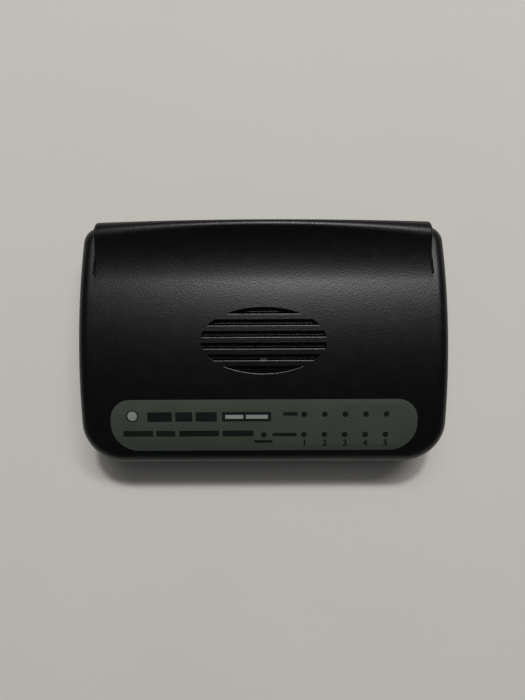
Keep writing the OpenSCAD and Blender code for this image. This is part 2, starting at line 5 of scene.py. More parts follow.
import bmesh
import bpy
from mathutils import Matrix, Vector


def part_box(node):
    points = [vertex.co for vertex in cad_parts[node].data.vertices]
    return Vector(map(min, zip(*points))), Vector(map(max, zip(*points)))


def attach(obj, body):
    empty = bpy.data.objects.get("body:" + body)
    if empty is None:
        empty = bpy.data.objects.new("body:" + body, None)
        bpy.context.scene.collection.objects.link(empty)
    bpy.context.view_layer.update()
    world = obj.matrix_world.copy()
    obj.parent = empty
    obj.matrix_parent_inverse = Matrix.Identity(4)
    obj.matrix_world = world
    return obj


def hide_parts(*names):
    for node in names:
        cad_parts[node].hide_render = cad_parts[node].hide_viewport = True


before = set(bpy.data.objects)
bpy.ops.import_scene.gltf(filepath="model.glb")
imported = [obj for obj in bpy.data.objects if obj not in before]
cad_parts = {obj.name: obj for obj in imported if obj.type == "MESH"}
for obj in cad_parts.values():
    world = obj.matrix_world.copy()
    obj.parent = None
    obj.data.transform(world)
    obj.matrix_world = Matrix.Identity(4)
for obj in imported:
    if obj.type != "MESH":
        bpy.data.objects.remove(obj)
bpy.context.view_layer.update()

# ---------------------------------------------------------------------------------------------------------
# Base shell. The lower half of the case: a shallow tray injection-moulded in black ABS, with a rolled lower
# edge, four screw posts, air slots in its floor and a tongue that laps inside the cover.

MM = 0.001


def extent(node):
    """Lowest and highest corner of a node of the frame, in millimetres."""
    low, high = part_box(node)
    return low / MM, high / MM


def middle(node):
    """Centre of a node's box, in millimetres."""
    low, high = extent(node)
    return (low + high) / 2


cover_low, cover_high = extent("top_cover")
base_low, base_high = extent("base_shell")

HALF_WIDTH = cover_high.x
FRONT, REAR = cover_low.y, cover_high.y
FRONT_CORNER = 14.0
REAR_CORNER = 6.0
SIDE_BOW = 10000.0

# The bowed side's centre lies far across the case. Each corner's centre keeps its arc tangent to the side.
bow_x = HALF_WIDTH - SIDE_BOW


def corner_centre(y, radius):
    return Vector((bow_x + math.sqrt((SIDE_BOW - radius) ** 2 - y * y), y, 0))


front_centre = corner_centre(FRONT + FRONT_CORNER, FRONT_CORNER)
rear_centre = corner_centre(REAR - REAR_CORNER, REAR_CORNER)
front_turn = math.atan2(front_centre.y, front_centre.x - bow_x)
rear_turn = math.atan2(rear_centre.y, rear_centre.x - bow_x)


def line_to(bm, vert, x, y):
    """Draws a straight edge from a vertex and returns its far end."""
    end = bmesh.ops.extrude_vert_indiv(bm, verts=[vert])["verts"][0]
    end.co.x, end.co.y = x, y
    return end


def arc_about(bm, vert, centre, turn, steps):
    """Spins a vertex about an upright axis, which draws an arc of edges, and returns its far end."""
    spun = bmesh.ops.spin(
        bm, geom=[vert], cent=(centre.x, centre.y, vert.co.z), axis=(0, 0, 1), angle=turn, steps=steps
    )
    return next(end for end in spun["geom_last"] if isinstance(end, bmesh.types.BMVert))


def draw_case_outline(bm, inset, z):
    """The case's plan as a loop: half the front, a corner, the side, a corner and half the rear, mirrored."""
    vert = bmesh.ops.create_vert(bm, co=(0, FRONT + inset, z))["vert"][0]
    vert = line_to(bm, vert, front_centre.x, FRONT + inset)
    vert = arc_about(bm, vert, front_centre, math.pi / 2 + front_turn, 20)
    vert = arc_about(bm, vert, Vector((bow_x, 0, 0)), rear_turn - front_turn, 32)
    vert = arc_about(bm, vert, rear_centre, math.pi / 2 - rear_turn, 14)
    line_to(bm, vert, 0, REAR - inset)
    bmesh.ops.mirror(bm, geom=bm.verts[:] + bm.edges[:], axis="X", merge_dist=0.001)


def raise_faces(bm, faces, height):
    """Extrudes flat faces straight up, and keeps the faces below as the foot."""
    grown = bmesh.ops.extrude_face_region(bm, geom=faces)["geom"]
    bmesh.ops.translate(bm, verts=[g for g in grown if isinstance(g, bmesh.types.BMVert)], vec=(0, 0, height))
    bmesh.ops.recalc_face_normals(bm, faces=bm.faces)


def case_block(inset, bottom, top):
    """A solid block with the case's plan."""
    bm = bmesh.new()
    draw_case_outline(bm, inset, bottom)
    face = bmesh.ops.contextual_create(bm, geom=bm.edges[:])["faces"]
    raise_faces(bm, face, top - bottom)
    return bm


def level_edges(bm, z):
    """The edges that lie at one height."""
    return [e for e in bm.edges if all(abs(v.co.z - z) < 0.01 for v in e.verts)]


def round_over(bm, edges, width, segments):
    """Rolls edges over with a round profile."""
    bmesh.ops.bevel(
        bm, geom=edges, offset=width, segments=segments, profile=0.5, affect="EDGES", material=-1,
        clamp_overlap=False,
    )


def as_object(bm, name):
    """Turns a mesh in millimetres into an object at the origin, in metres."""
    bmesh.ops.scale(bm, vec=(MM, MM, MM), verts=bm.verts)
    mesh = bpy.data.meshes.new(name)
    bm.to_mesh(mesh)
    bm.free()
    made = bpy.data.objects.new(name, mesh)
    bpy.context.scene.collection.objects.link(made)
    return made


def back_to_bmesh(shown):
    """The shape of an object with its modifiers applied, in millimetres again. The object goes."""
    applied = bpy.data.meshes.new_from_object(shown.evaluated_get(bpy.context.evaluated_depsgraph_get()))
    bpy.data.objects.remove(shown)
    bm = bmesh.new()
    bm.from_mesh(applied)
    bmesh.ops.scale(bm, vec=(1 / MM, 1 / MM, 1 / MM), verts=bm.verts)
    return bm


def combine(bm, tool, operation):
    """Adds or cuts one closed shape with another."""
    shown, helper = as_object(bm, "shape"), as_object(tool, "tool")
    step = shown.modifiers.new("step", "BOOLEAN")
    step.operation, step.solver, step.object = operation, "EXACT", helper
    result = back_to_bmesh(shown)
    bpy.data.objects.remove(helper)
    bmesh.ops.dissolve_degenerate(result, edges=result.edges, dist=0.0005)
    return result


def thicken(bm, wall):
    """Gives an open skin a wall, grown inwards."""
    shown = as_object(bm, "skin")
    step = shown.modifiers.new("wall", "SOLIDIFY")
    step.thickness, step.offset = wall * MM, -1
    return back_to_bmesh(shown)


def add_drum(bm, x, y, radius, bottom, top, segments=40):
    """Adds an upright cylinder."""
    place = Matrix.Translation((x, y, (bottom + top) / 2))
    bmesh.ops.create_cone(
        bm, cap_ends=True, segments=segments, radius1=radius, radius2=radius, depth=top - bottom, matrix=place
    )


def add_block(bm, low, high):
    """Adds a box between two corners, and returns its vertices."""
    low, high = Vector(low), Vector(high)
    place = Matrix.Translation((low + high) / 2) @ Matrix.Diagonal((*(high - low), 1))
    return bmesh.ops.create_cube(bm, size=1, matrix=place)["verts"]


def pour(bm, other):
    """Adds one mesh's shapes to another's."""
    carrier = bpy.data.meshes.new("carrier")
    other.to_mesh(carrier)
    other.free()
    bm.from_mesh(carrier)
    bpy.data.meshes.remove(carrier)


def hex_colour(code):
    """An sRGB hex colour as the linear colour that a shader takes."""
    parts = [int(code[i : i + 2], 16) / 255 for i in (1, 3, 5)]
    return (*(c / 12.92 if c < 0.04045 else ((c + 0.055) / 1.055) ** 2.4 for c in parts), 1)


def add(material, kind, inputs=None, **settings):
    """Adds a shader node. Each input is a value, or another node's output to link."""
    made = material.node_tree.nodes.new(kind)
    for name, value in settings.items():
        setattr(made, name, value)
    for name, value in (inputs or {}).items():
        if isinstance(value, bpy.types.NodeSocket):
            material.node_tree.links.new(value, made.inputs[name])
        else:
            made.inputs[name].default_value = value
    return made


def empty_material(name):
    material = bpy.data.materials.new(name)
    material.use_nodes = True
    material.node_tree.nodes.clear()
    return material


# The noise that makes patches stays between these two levels nearly everywhere.
PATCH_LOW, PATCH_HIGH = 0.3, 0.7


def finish(name, dark, light, roughness, spread=0.03, grain_mm=0.4, depth_mm=0.02, patch_mm=7.0, **extras):
    """A finish with a fine grain of a real size, and patches where colour and gloss drift a little."""
    material = empty_material(name)
    place = add(material, "ShaderNodeTexCoord").outputs["Object"]
    grain = add(
        material, "ShaderNodeTexNoise", {"Vector": place, "Scale": 1 / (grain_mm * MM), "Detail": 3.0}
    )
    patches = add(
        material, "ShaderNodeTexNoise", {"Vector": place, "Scale": 1 / (patch_mm * MM), "Detail": 4.0}
    )
    tint = add(material, "ShaderNodeValToRGB", {"Fac": patches.outputs["Fac"]})
    for stop, level, colour in zip(tint.color_ramp.elements, (PATCH_LOW, PATCH_HIGH), (dark, light)):
        stop.position, stop.color = level, hex_colour(colour)
    gloss = add(
        material, "ShaderNodeMapRange",
        {
            "Value": patches.outputs["Fac"], "From Min": PATCH_LOW, "From Max": PATCH_HIGH,
            "To Min": roughness - spread, "To Max": roughness + spread,
        },
    )
    relief = add(material, "ShaderNodeBump", {"Height": grain.outputs["Fac"], "Distance": depth_mm * MM})
    look = {socket.replace("_", " "): value for socket, value in extras.items()}
    look["Base Color"] = tint.outputs["Color"]
    look["Roughness"] = gloss.outputs["Result"]
    look["Normal"] = relief.outputs["Normal"]
    surface = add(material, "ShaderNodeBsdfPrincipled", look)
    add(material, "ShaderNodeOutputMaterial", {"Surface": surface.outputs["BSDF"]})
    return material


def show(bm, name, material, body="root", replaces=(), sharp=40.0):
    """Finishes a piece: smooth faces, sharp edges past an angle, material, body and what it stands for."""
    made = as_object(bm, name)
    made.data.shade_smooth()
    made.data.set_sharp_from_angle(angle=math.radians(sharp))
    made.data.materials.clear()
    made.data.materials.append(material)
    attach(made, body)
    if replaces:
        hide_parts(*replaces)
    return made


WALL = 2.0
BASE_INSET = HALF_WIDTH - base_high.x
BASE_ROLL = 2.0
TONGUE_INSET = 1.15
TONGUE_WALL = 1.0
TONGUE_UP = 1.3
board_low, board_high = extent("circuit_board")
parting = board_high.z
rim_z = parting - 0.2

base = case_block(BASE_INSET, base_low.z, rim_z)
round_over(base, level_edges(base, base_low.z), BASE_ROLL, 6)
lid = [f for f in base.faces if all(abs(v.co.z - rim_z) < 0.01 for v in f.verts)]
bmesh.ops.delete(base, geom=lid, context="FACES_ONLY")
base = thicken(base, WALL)
round_over(base, [e for e in level_edges(base, rim_z) if e.calc_face_angle(0) > 1], 0.2, 2)

# The tongue stops at the rear corners, to leave the sockets' openings free.
tongue = bmesh.new()
draw_case_outline(tongue, TONGUE_INSET, rim_z - 1)
wall_edges = bmesh.ops.extrude_edge_only(tongue, edges=tongue.edges[:])["geom"]
risen = [g for g in wall_edges if isinstance(g, bmesh.types.BMVert)]
bmesh.ops.translate(tongue, verts=risen, vec=(0, 0, TONGUE_UP + 1))
bmesh.ops.recalc_face_normals(tongue, faces=tongue.faces)
bmesh.ops.bisect_plane(
    tongue, geom=tongue.verts[:] + tongue.edges[:] + tongue.faces[:], plane_co=(0, REAR - REAR_CORNER, 0),
    plane_no=(0, 1, 0), clear_outer=True,
)
tongue = thicken(tongue, TONGUE_WALL)

HEAD_RADIUS, HEAD_HEIGHT = 2.7, 1.8
screws_low, screws_high = extent("case_screws")
HEAD_SEAT = screws_low.z + HEAD_HEIGHT
screw_places = [
    (x, y)
    for x in (screws_low.x + HEAD_RADIUS, screws_high.x - HEAD_RADIUS)
    for y in (screws_low.y + HEAD_RADIUS, screws_high.y - HEAD_RADIUS)
]
POST, STANDOFF = 3.4, 3.0
standoffs_low, standoffs_high = extent("board_screws")
BOARD_HEAD = 2.3
standoff_places = [
    (x, y)
    for x in (standoffs_low.x + BOARD_HEAD, standoffs_high.x - BOARD_HEAD)
    for y in (standoffs_low.y + BOARD_HEAD, standoffs_high.y - BOARD_HEAD)
]

posts = bmesh.new()
for x, y in screw_places:
    add_drum(posts, x, y, POST, base_low.z + 1, rim_z)
for x, y in standoff_places:
    add_drum(posts, x, y, STANDOFF, base_low.z + 1, board_low.z)
base = combine(base, posts, "UNION")

SLOT_X, SLOT_LENGTH, SLOT_WIDTH, SLOT_PITCH = 36.0, 17.0, 1.8, 4.0
feet = [f"foot_{end}_{side}" for end in ("front", "rear") for side in ("left", "right")]
foot_low, foot_high = extent(feet[0])
FOOT_RADIUS = (foot_high.x - foot_low.x) / 2
recesses = bmesh.new()
for x, y in screw_places:
    add_drum(recesses, x, y, HEAD_RADIUS + 0.2, base_low.z - 1, HEAD_SEAT)
for name in feet:
    add_drum(recesses, middle(name).x, middle(name).y, FOOT_RADIUS + 0.1, base_low.z - 1, foot_high.z)
for side in (-1, 1):
    for row in range(7):
        y = (row - 3) * SLOT_PITCH
        reach = (SLOT_LENGTH - SLOT_WIDTH) / 2
        slot = bmesh.new()
        start = (side * SLOT_X - reach, y - SLOT_WIDTH / 2, base_low.z - 1)
        corner = bmesh.ops.create_vert(slot, co=start)["vert"][0]
        corner = line_to(slot, corner, side * SLOT_X + reach, y - SLOT_WIDTH / 2)
        corner = arc_about(slot, corner, Vector((side * SLOT_X + reach, y, 0)), math.pi, 8)
        corner = line_to(slot, corner, side * SLOT_X - reach, y + SLOT_WIDTH / 2)
        arc_about(slot, corner, Vector((side * SLOT_X - reach, y, 0)), math.pi, 8)
        bmesh.ops.remove_doubles(slot, verts=slot.verts, dist=0.001)
        raise_faces(slot, bmesh.ops.contextual_create(slot, geom=slot.edges[:])["faces"], 5)
        pour(recesses, slot)
base = combine(base, recesses, "DIFFERENCE")
pour(base, tongue)

# Black ABS from a spark-eroded mould gives a deep black with a soft sheen. Its 0.1 mm tooth is drawn at
# 0.6 mm, so that it still breaks up the gloss.
black_abs = finish(
    "moulded black ABS", "#050506", "#080809", 0.35, spread=0.015, grain_mm=0.6, depth_mm=0.05, patch_mm=5.0,
    Specular_IOR_Level=0.28,
)
show(base, "base_shell_moulding", black_abs, replaces=["base_shell"])

# ---------------------------------------------------------------------------------------------------------
# Rubber feet. Four discs of soft black rubber with a shallow dished tread, each glued in a round recess of
# the base.


def turn_profile(bm, x, y, profile, steps=40):
    """Spins a line of (radius, height) points about an upright axis. It starts and ends on the axis."""
    before = set(bm.verts)
    tip = bmesh.ops.create_vert(bm, co=(x, y, profile[0][1]))["vert"][0]
    for reach, up in profile[1:]:
        tip = line_to(bm, tip, x + reach, y)
        tip.co.z = up
    line = [v for v in bm.verts if v not in before]
    edges = list({e for v in line for e in v.link_edges})
    bmesh.ops.spin(
        bm, geom=line + edges, cent=(x, y, 0), axis=(0, 0, 1), angle=math.tau, steps=steps, use_merge=True
    )
    bmesh.ops.remove_doubles(bm, verts=[v for v in bm.verts if v not in before], dist=0.0005)
    bmesh.ops.recalc_face_normals(bm, faces=bm.faces)


# Rubber is drawn a little lighter than the case, and it scatters what little it reflects.
foot_rubber = finish("black foot rubber", "#1b1c1e", "#28292c", 0.82, spread=0.06, grain_mm=0.3, patch_mm=1.5)
for name in feet:
    low, high = extent(name)
    profile = [
        (0, low.z + 0.3), (FOOT_RADIUS - 2.6, low.z + 0.3), (FOOT_RADIUS - 2.2, low.z + 0.05),
        (FOOT_RADIUS - 1.9, low.z), (FOOT_RADIUS - 0.8, low.z), (FOOT_RADIUS - 0.35, low.z + 0.12),
        (FOOT_RADIUS - 0.1, low.z + 0.4), (FOOT_RADIUS, low.z + 0.8), (FOOT_RADIUS, high.z), (0, high.z),
    ]
    foot = bmesh.new()
    turn_profile(foot, middle(name).x, middle(name).y, profile, 48)
    show(foot, f"rubber_{name}", foot_rubber, replaces=[name])

# ---------------------------------------------------------------------------------------------------------
# Rating label. A blank sticker of silver-grey polyester film, pressed on the middle of the base's underside.


def dress(nodes, material):
    """Gives nodes of the frame, whose shape is right, their finish."""
    for node in nodes:
        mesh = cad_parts[node].data
        mesh.materials.clear()
        mesh.materials.append(material)


silver_film = finish(
    "silver polyester film", "#a9abaa", "#b9bbb9", 0.42, grain_mm=0.6, depth_mm=0.004, Metallic=0.35
)
dress(["rating_label"], silver_film)

# ---------------------------------------------------------------------------------------------------------
# Circuit board. Glass-epoxy laminate under a dark green solder mask, drilled for the sockets' pegs and pins.
# The mask is drawn nearly black, which is painted shade for the dark inside of the case.

BOARD_TRACK_PITCH = 2.54
# Painted shade: the mask's colours are kept nearly black, as the shade below the grille.
solder_mask_painted_shade = empty_material("dark green solder mask")
place = add(solder_mask_painted_shade, "ShaderNodeTexCoord").outputs["Object"]
tracks = add(
    solder_mask_painted_shade, "ShaderNodeTexBrick",
    {
        "Vector": place, "Scale": 1 / (BOARD_TRACK_PITCH * MM), "Mortar Size": 0.12, "Brick Width": 3.0,
        "Row Height": 0.5, "Color1": hex_colour("#0a1d13"), "Color2": hex_colour("#0c2217"),
        "Mortar": hex_colour("#14351f"),
    },
    offset=0.37,
)
relief = add(solder_mask_painted_shade, "ShaderNodeBump", {"Height": tracks.outputs["Fac"], "Distance": 0.035 * MM})
coat = add(
    solder_mask_painted_shade, "ShaderNodeBsdfPrincipled",
    {"Base Color": tracks.outputs["Color"], "Normal": relief.outputs["Normal"], "Roughness": 0.3},
)
add(solder_mask_painted_shade, "ShaderNodeOutputMaterial", {"Surface": coat.outputs["BSDF"]})
dress(["circuit_board"], solder_mask_painted_shade)

# ---------------------------------------------------------------------------------------------------------
# Board screws. Four zinc-plated pan-head screws that hold the board on the base's standoffs.


def pan_screws(places, seat, up, head, head_height, shank, tip):
    """Pan-head screws whose heads bear at one height and rise or hang from it, each with a cross recess."""
    bm = bmesh.new()
    crown = seat + up * head_height
    for x, y in places:
        turn_profile(
            bm, x, y,
            [
                (0, crown), (head * 0.55, crown), (head * 0.82, crown - up * 0.25),
                (head * 0.96, crown - up * 0.7), (head, crown - up * 1.1), (head, seat), (shank, seat),
                (shank, tip + up * 0.9), (shank * 0.3, tip), (0, tip),
            ],
            32,
        )
    for long, wide in ((head * 0.62, head * 0.13), (head * 0.13, head * 0.62)):
        bars = bmesh.new()
        for x, y in places:
            low, high = sorted((crown - up * 0.9, crown + up))
            add_block(bars, (x - long, y - wide, low), (x + long, y + wide, high))
        bm = combine(bm, bars, "DIFFERENCE")
    return bm


# Zinc plate over drawn steel gives a cool grey with fine turning marks.
zinc = finish(
    "zinc-plated steel", "#8f9296", "#a3a6aa", 0.3, grain_mm=0.15, depth_mm=0.006, patch_mm=2.0, Metallic=1.0
)
board_screws = pan_screws(standoff_places, board_high.z, 1, BOARD_HEAD, 1.5, 0.9, standoffs_low.z)
show(board_screws, "board_screw_set", zinc, replaces=["board_screws"])

# ---------------------------------------------------------------------------------------------------------
# Network sockets. Five housings moulded in black nylon, each pegged on the board, with the plug's stepped
# opening in its face, a trough for the contacts in its floor and an insert at its back that combs the wires.

socket_low, socket_high = extent("port_3_housing")
SOCKET_FACE = socket_high.y
SOCKET_MIDDLE = (socket_low.x + socket_high.x) / 2


def socket_block(half, u_from, u_to, z_from, z_to):
    """A box in the middle socket. U runs inward from its face and Z up from the board."""
    bm = bmesh.new()
    low = (SOCKET_MIDDLE - half, SOCKET_FACE - u_to, parting + z_from)
    add_block(bm, low, (SOCKET_MIDDLE + half, SOCKET_FACE - u_from, parting + z_to))
    return bm


PLUG_FLOOR, PLUG_ROOF, PLUG_DEPTH = 2.0, 8.9, 13.5
socket = bmesh.new()
add_block(socket, (socket_low.x, socket_low.y, parting), socket_high)
round_over(socket, socket.edges[:], 0.25, 2)
for half, u_from, u_to, z_from, z_to in (
    (5.9, -1, 19.2, PLUG_FLOOR, PLUG_ROOF),
    (4.7, 1.2, PLUG_DEPTH, 0.9, PLUG_FLOOR + 0.1),
    (5.9, PLUG_DEPTH, 19.2, -1, PLUG_FLOOR + 0.1),
    (3.1, -1, PLUG_DEPTH, PLUG_ROOF - 0.1, 9.9),
    (1.8, -1, 9, 9.8, 10.7),
):
    socket = combine(socket, socket_block(half, u_from, u_to, z_from, z_to), "DIFFERENCE")
mouth = [
    e for e in socket.edges
    if e.calc_face_angle(0) > 1
    and all(abs(v.co.y - SOCKET_FACE) < 0.01 and v.co.z > parting + 1 for v in e.verts)
]
round_over(socket, mouth, 0.3, 2)
pegs = bmesh.new()
for side in (-1, 1):
    add_drum(pegs, SOCKET_MIDDLE + side * 5.7, SOCKET_FACE - 9, 1.5, socket_low.z, parting + 0.1, 24)
pour(socket, pegs)

# Glass-filled nylon is blacker than the case and has a dull, even skin.
socket_nylon = finish("black glass-filled nylon", "#0c0d0e", "#131415", 0.5, grain_mm=0.3, depth_mm=0.015)
insert_nylon = finish("dark grey nylon", "#1d1f21", "#26282b", 0.55, grain_mm=0.3, depth_mm=0.015)
for n in range(1, 6):
    copy = socket.copy()
    bmesh.ops.translate(copy, verts=copy.verts, vec=(middle(f"port_{n}_housing").x - SOCKET_MIDDLE, 0, 0))
    show(copy, f"port_{n}_socket", socket_nylon, replaces=[f"port_{n}_housing"])
socket.free()
dress([f"port_{n}_insert" for n in range(1, 6)], insert_nylon)

# ---------------------------------------------------------------------------------------------------------
# Contact springs. Eight gold-plated phosphor bronze wires in each socket. Each comes up through the board,
# runs to the mouth, doubles back round a tight bend and slopes up into the comb, and a plug presses it down.

CONTACT_U, CONTACT_UP = 2.2, 1.5
CONTACT_SLOPE, CONTACT_LENGTH, CONTACT_PITCH = math.radians(22), 10.4, 1.02
WIRE, WIRE_BREADTH, BEND = 0.16, 1.35, 0.24
CURL_LENGTH, CURL_RADIUS = 0.6, 0.7


def sprung_wire():
    """One wire about its bend: a half turn at the mouth, a straight run inward and a curl at its tip."""
    bm = bmesh.new()
    upright = Matrix.Translation((0, 0, BEND)) @ Matrix.Rotation(math.pi / 2, 4, "X")
    place = upright @ Matrix.Diagonal((WIRE_BREADTH, 1, 1, 1))
    bmesh.ops.create_circle(bm, segments=10, radius=WIRE, matrix=place)
    ring = bm.edges[:]
    hook = bmesh.ops.spin(
        bm, geom=bm.verts[:] + ring, cent=(0, 0, 0), axis=(1, 0, 0), angle=-math.pi * 0.95, steps=8
    )
    bmesh.ops.contextual_create(bm, geom=[g for g in hook["geom_last"] if isinstance(g, bmesh.types.BMEdge)])
    run = bmesh.ops.extrude_edge_only(bm, edges=ring)["geom"]
    far = [g for g in run if isinstance(g, bmesh.types.BMVert)]
    bmesh.ops.translate(bm, verts=far, vec=(0, CURL_LENGTH - CONTACT_LENGTH, 0))
    far_ring = [e for e in bm.edges if all(v in far for v in e.verts)]
    curl = bmesh.ops.spin(
        bm, geom=far + far_ring, cent=(0, CURL_LENGTH - CONTACT_LENGTH, BEND - CURL_RADIUS), axis=(1, 0, 0),
        angle=math.radians(50), steps=5,
    )
    bmesh.ops.contextual_create(bm, geom=[g for g in curl["geom_last"] if isinstance(g, bmesh.types.BMEdge)])
    bmesh.ops.recalc_face_normals(bm, faces=bm.faces)
    bmesh.ops.rotate(bm, verts=bm.verts, matrix=Matrix.Rotation(-CONTACT_SLOPE, 3, "X"))
    return bm


# Gold over nickel is a warm yellow with the soft gloss of drawn wire.
contact_gold = finish(
    "gold-plated contact wire", "#c79a3e", "#dcb257", 0.22, grain_mm=0.12, depth_mm=0.004, patch_mm=1.0,
    Metallic=1.0,
)
for n in range(1, 6):
    wires = bmesh.new()
    for k in range(8):
        wire = sprung_wire()
        x = middle(f"port_{n}_housing").x + (k - 3.5) * CONTACT_PITCH
        bmesh.ops.translate(wire, verts=wire.verts, vec=(x, SOCKET_FACE - CONTACT_U, parting + CONTACT_UP))
        pour(wires, wire)
    springs = f"port_{n}_contacts"
    show(wires, f"port_{n}_contact_springs", contact_gold, f"port_{n}_springs", [springs])
dress([f"port_{n}_pins" for n in range(1, 6)], contact_gold)

# ---------------------------------------------------------------------------------------------------------
# Power socket. A black nylon body with a round bore for a barrel plug, a plated pin on the bore's axis, three
# terminals soldered in the board and a bronze leaf that presses on the plug's sleeve.

jack_low, jack_high = extent("power_jack_housing")
JACK_X = (jack_low.x + jack_high.x) / 2
pin_low, pin_high = extent("power_jack_pin")
BORE_Z = (pin_low.z + pin_high.z) / 2
BORE_RADIUS, BORE_DEPTH, BORE_CHAMFER = 3.1, 9.6, 0.5


def bore_cone(inner, outer, u_from, u_to):
    """A round tool on the bore's axis, from one depth to another, whose radius may differ at its ends."""
    bm = bmesh.new()
    centre = Matrix.Translation((JACK_X, jack_high.y - (u_from + u_to) / 2, BORE_Z))
    place = centre @ Matrix.Rotation(-math.pi / 2, 4, "X")
    bmesh.ops.create_cone(
        bm, cap_ends=True, segments=64, radius1=inner, radius2=outer, depth=u_to - u_from, matrix=place
    )
    return bm


jack = bmesh.new()
add_block(jack, jack_low, jack_high)
round_over(jack, jack.edges[:], 0.35, 3)
jack = combine(jack, bore_cone(BORE_RADIUS, BORE_RADIUS, -1, BORE_DEPTH), "DIFFERENCE")
chamfer = bore_cone(BORE_RADIUS - 0.1, BORE_RADIUS + 2 * BORE_CHAMFER, -BORE_CHAMFER, BORE_CHAMFER)
jack = combine(jack, chamfer, "DIFFERENCE")
LEAF_SLOT_HALF, LEAF_SLOT_DEPTH = 1.9, 10.9
leaf_slot = bmesh.new()
add_block(
    leaf_slot, (JACK_X - LEAF_SLOT_HALF, jack_high.y - LEAF_SLOT_DEPTH, parting + 1.3),
    (JACK_X + LEAF_SLOT_HALF, jack_high.y - 1, BORE_Z - 1.5),
)
jack = combine(jack, leaf_slot, "DIFFERENCE")
show(jack, "power_socket_body", socket_nylon, replaces=["power_jack_housing"])

# Tin plate is a pale, slightly hazy silver. The leaf is bare phosphor bronze, a brownish yellow.
tin_plate = finish(
    "tin-plated copper", "#b3b6b9", "#c6c9cb", 0.28, grain_mm=0.15, depth_mm=0.004, patch_mm=1.5,
    Metallic=1.0,
)
bronze = finish(
    "phosphor bronze strip", "#b08b4c", "#c39d5c", 0.3, grain_mm=0.15, depth_mm=0.004, patch_mm=1.5,
    Metallic=1.0,
)
dress(["power_jack_pin", "power_jack_terminals", "regulator_leads"], tin_plate)
dress(["switch_chip_leads", "transformer_leads"], tin_plate)
dress(["power_jack_spring"], bronze)

# ---------------------------------------------------------------------------------------------------------
# Components. The switch chip, its memory and crystal, one transformer for each port, and the power supply.

# Moulded epoxy is a grey-black with a fine even matt from its mould.
chip_epoxy = finish(
    "black moulded epoxy", "#161719", "#1e1f21", 0.6, grain_mm=0.2, depth_mm=0.01, patch_mm=3.0
)
dress(["switch_chip", "eeprom_chip", "regulator", "power_diode"], chip_epoxy)
dress([f"transformer_{n}" for n in range(1, 6)], chip_epoxy)
can_steel = finish(
    "drawn steel can", "#b4b7b9", "#c4c7c9", 0.25, grain_mm=0.3, depth_mm=0.004, patch_mm=2.5, Metallic=1.0
)
dress(["crystal_can"], can_steel)
ferrite = finish("sintered ferrite", "#2c2c2e", "#3a3a3c", 0.7, grain_mm=0.25, depth_mm=0.03, patch_mm=2.0)
dress(["inductor_core"], ferrite)
glazed_ceramic = finish(
    "black glazed ceramic", "#1d1f22", "#292b2f", 0.35, grain_mm=0.2, depth_mm=0.005, patch_mm=0.8
)
dress(["chip_resistors"], glazed_ceramic)
tan_ceramic = finish(
    "tan fired ceramic", "#9b8260", "#b39a77", 0.5, grain_mm=0.15, depth_mm=0.01, patch_mm=0.8
)
dress(["chip_capacitors"], tan_ceramic)

# A shrunk sleeve of dark blue PVC is glossy. The can's bare aluminium shows where the surface faces up.
sleeve = empty_material("dark blue shrink sleeve")
shape = add(sleeve, "ShaderNodeNewGeometry")
facing = add(sleeve, "ShaderNodeSeparateXYZ", {"Vector": shape.outputs["Normal"]})
upward = add(sleeve, "ShaderNodeMath", {0: facing.outputs["Z"], 1: 0.9}, operation="GREATER_THAN")
bare = upward.outputs["Value"]
tone = add(sleeve, "ShaderNodeValToRGB", {"Fac": bare})
tone.color_ramp.elements[0].color = hex_colour("#1b2736")
tone.color_ramp.elements[1].color = hex_colour("#b9bcbe")
surface = add(
    sleeve, "ShaderNodeBsdfPrincipled",
    {"Base Color": tone.outputs["Color"], "Metallic": bare, "Roughness": 0.3},
)
add(sleeve, "ShaderNodeOutputMaterial", {"Surface": surface.outputs["BSDF"]})
dress(["capacitor_input", "capacitor_output", "capacitor_core"], sleeve)

# The choke is wound with enamelled copper wire 0.5 mm thick, which shows as fine level bands. Their colour is
# painted light: darker in the valleys between turns, lighter on the turns' crowns.
WINDING_WIRE = 0.5
enamelled = empty_material("enamelled copper winding")
place = add(enamelled, "ShaderNodeTexCoord").outputs["Object"]
turns = add(
    enamelled, "ShaderNodeTexWave", {"Vector": place, "Scale": math.tau / (20 * WINDING_WIRE * MM)},
    bands_direction="Z",
)
relief = add(enamelled, "ShaderNodeBump", {"Height": turns.outputs["Fac"], "Distance": 0.12 * MM})
# Painted shade and highlight: the tone follows the bands' relief.
tone = add(enamelled, "ShaderNodeValToRGB", {"Fac": turns.outputs["Fac"]})
tone.color_ramp.elements[0].color = hex_colour("#5c3013")
tone.color_ramp.elements[1].color = hex_colour("#b06a34")
surface = add(
    enamelled, "ShaderNodeBsdfPrincipled",
    {
        "Base Color": tone.outputs["Color"], "Normal": relief.outputs["Normal"], "Metallic": 0.8,
        "Roughness": 0.28,
    },
)
add(enamelled, "ShaderNodeOutputMaterial", {"Surface": surface.outputs["BSDF"]})
dress(["inductor_coil"], enamelled)

# ---------------------------------------------------------------------------------------------------------
# Lights and light pipe. Eleven white resin lamps on the board, and one clear acrylic moulding whose posts
# carry their light up to the windows of the label.

lamp_resin = finish("white lamp resin", "#d8d6ca", "#e8e6dc", 0.3, grain_mm=0.2, depth_mm=0.005, patch_mm=1.0)
dress(["speed_leds", "link_leds", "power_led"], lamp_resin)
# The pipe is clear acrylic. Its dark tint is painted shade, which keeps the label's windows as dark as the
# shade inside the case.
pipe_acrylic_painted_shade = finish(
    "clear acrylic with painted shade tint", "#1c211e", "#262c29", 0.2, spread=0.02, grain_mm=0.3, depth_mm=0.004,
    patch_mm=2.0, Transmission_Weight=0.6, IOR=1.49,
)
dress(["light_pipe"], pipe_acrylic_painted_shade)

